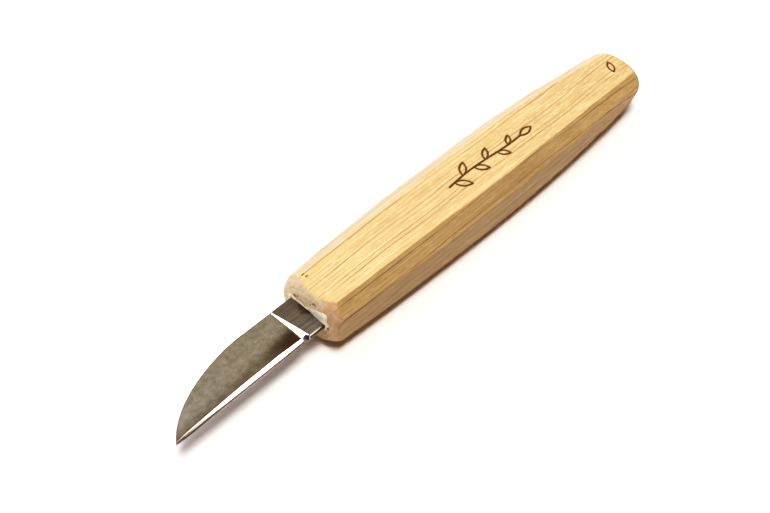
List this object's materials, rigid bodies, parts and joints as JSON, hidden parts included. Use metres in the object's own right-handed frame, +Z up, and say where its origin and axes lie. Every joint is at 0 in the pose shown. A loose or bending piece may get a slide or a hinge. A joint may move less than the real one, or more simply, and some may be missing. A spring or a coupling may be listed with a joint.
{
  "type": "whittling knife",
  "caption": "Short carving blade with a straight edge and a curved spine, glued into an eight-sided wooden barrel handle.",
  "frame": {"origin": "under the middle of the knife's bounding box, on the surface that the knife lies on", "axes": "+X along the knife from the point to the butt, the cutting edge faces -Y, +Z up and square to the blade's flat"},
  "size_m": [0.1724, 0.0212, 0.0159],
  "materials": {
    "blade_steel": "satin ground faces with a fine grain, polished cutting bevel",
    "handle_ash": "pale ash, knife-cut facets, sanded and oiled, open straight grain",
    "cured_adhesive": "cloudy cured adhesive, slightly glossy"
  },
  "bodies": {
    "root": {"blade": "blade_steel", "handle": "handle_ash", "adhesive_bed": "cured_adhesive"}
  },
  "joints": []
}
